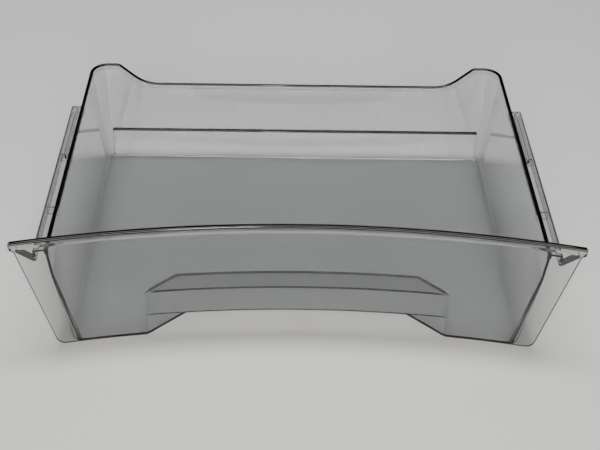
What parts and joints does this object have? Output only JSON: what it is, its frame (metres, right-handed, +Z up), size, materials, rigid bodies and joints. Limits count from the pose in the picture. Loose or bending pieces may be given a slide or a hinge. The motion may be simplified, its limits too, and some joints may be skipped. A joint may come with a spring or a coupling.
{
  "type": "fridge drawer",
  "caption": "Clear moulded refrigerator drawer with a bowed front panel, a finger pocket under the grip, a dipped back rim and side runners.",
  "frame": {"origin": "middle of the drawer's footprint, on the surface it stands on", "axes": "+X across the drawer to the right as seen from the front, +Y from the front panel to the back wall, +Z up"},
  "size_m": [0.504, 0.3172, 0.129],
  "materials": {
    "clear_plastic": "clear, glossy, with a slight smoke-grey tint"
  },
  "bodies": {
    "root": {"drawer": "clear_plastic"}
  },
  "joints": []
}
